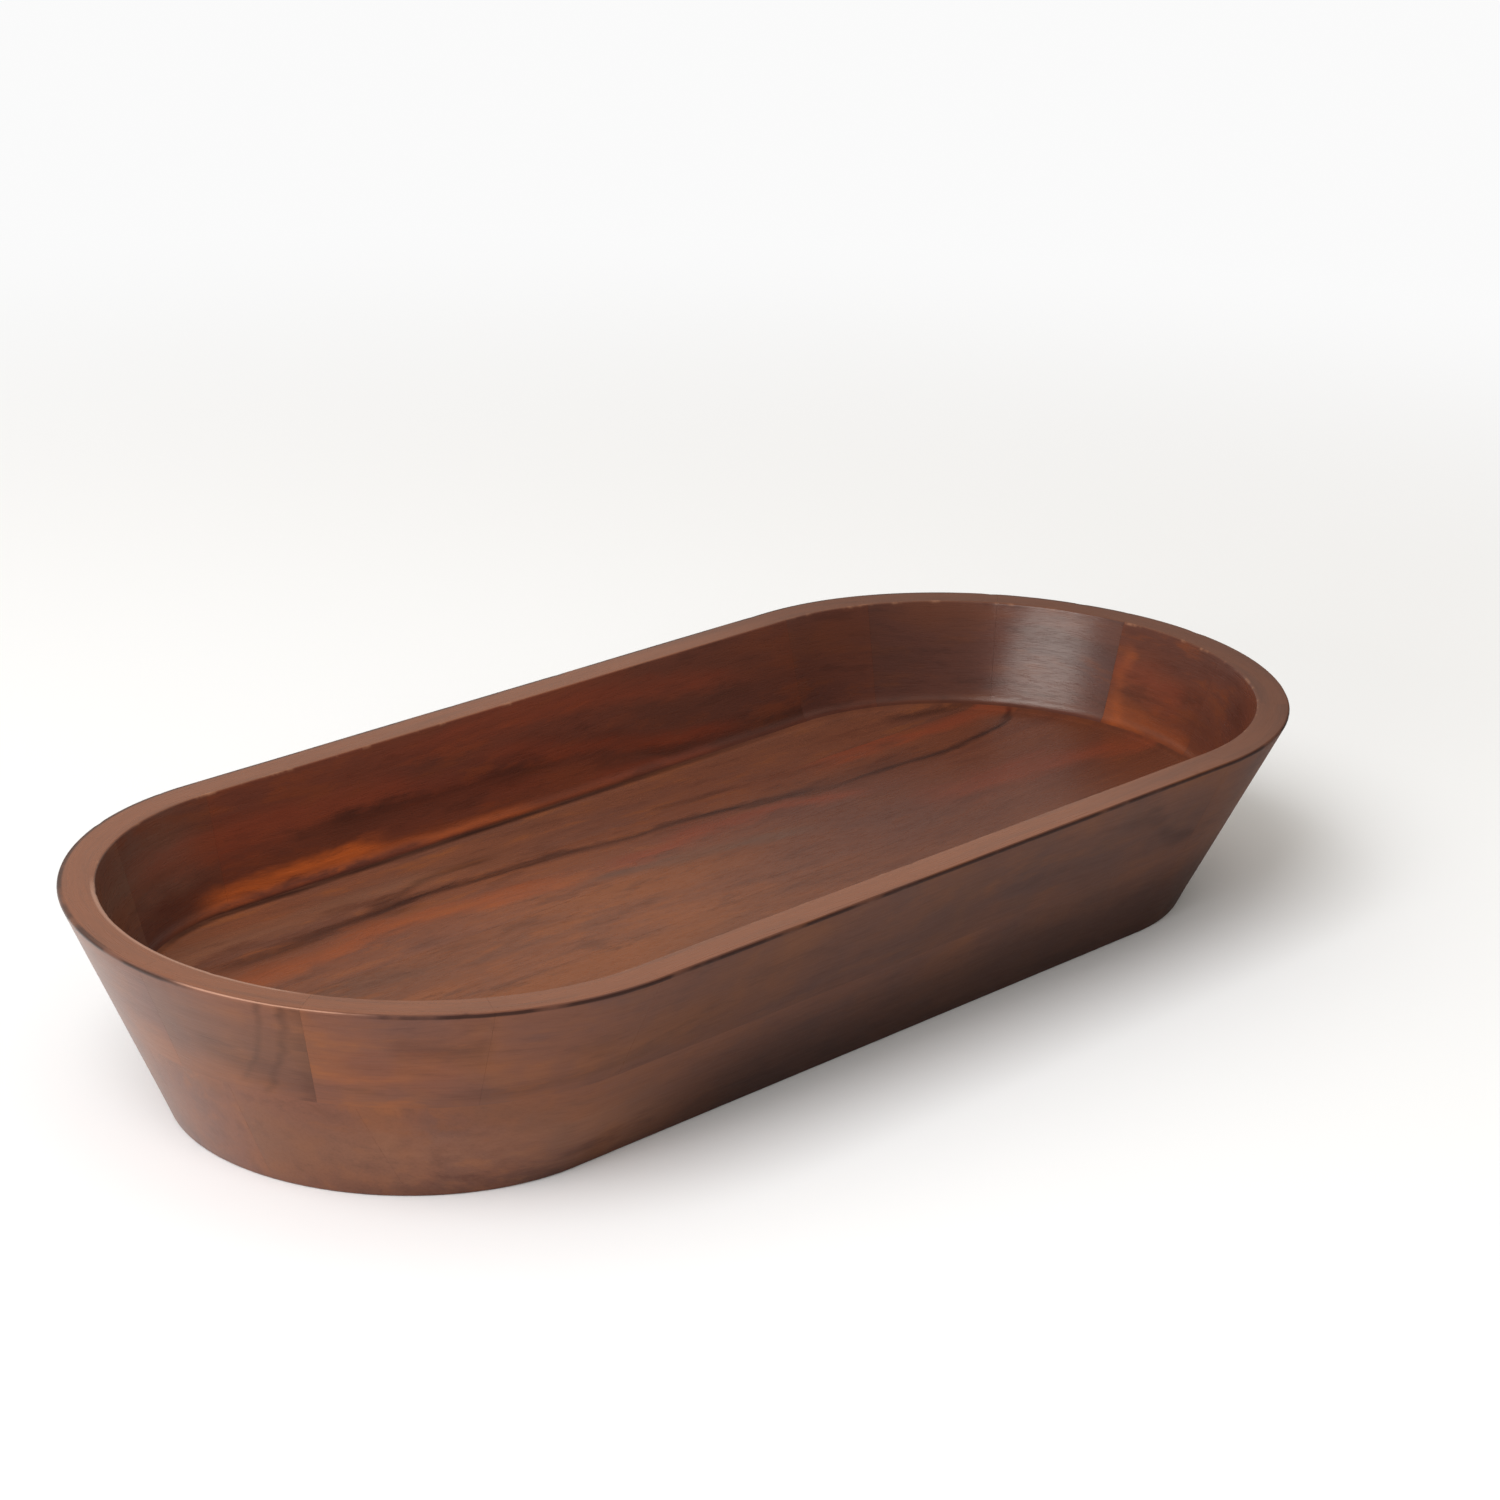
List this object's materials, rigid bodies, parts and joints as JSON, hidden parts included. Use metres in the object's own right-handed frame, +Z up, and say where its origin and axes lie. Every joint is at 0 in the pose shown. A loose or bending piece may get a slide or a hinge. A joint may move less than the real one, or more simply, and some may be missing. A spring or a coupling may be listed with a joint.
{
  "type": "decorative_bowl",
  "caption": "Long oval wooden decorative bowl with a flared wall, flat rim and flat floor, glued up from stained hardwood boards and mitred end blocks",
  "frame": {"origin": "the middle of the flat underside, which is the middle of the bounding box's bottom face", "axes": "+X along the bowl's length to its right end, +Y to its back long side, +Z up out of the bowl"},
  "size_m": [0.46, 0.2, 0.068],
  "materials": {
    "base_wood": "satin stained",
    "rail_wood": "satin stained",
    "end_wood": "satin stained"
  },
  "bodies": {
    "root": {"base_board_1": "base_wood", "base_board_2": "base_wood", "base_board_3": "base_wood", "base_board_4": "base_wood", "base_board_5": "base_wood", "front_side_rail": "rail_wood", "back_side_rail": "rail_wood", "left_end_block_1": "end_wood", "left_end_block_2": "end_wood", "left_end_block_3": "end_wood", "left_end_block_4": "end_wood", "left_end_block_5": "end_wood", "left_end_block_6": "end_wood", "right_end_block_1": "end_wood", "right_end_block_2": "end_wood", "right_end_block_3": "end_wood", "right_end_block_4": "end_wood", "right_end_block_5": "end_wood", "right_end_block_6": "end_wood"}
  },
  "joints": []
}
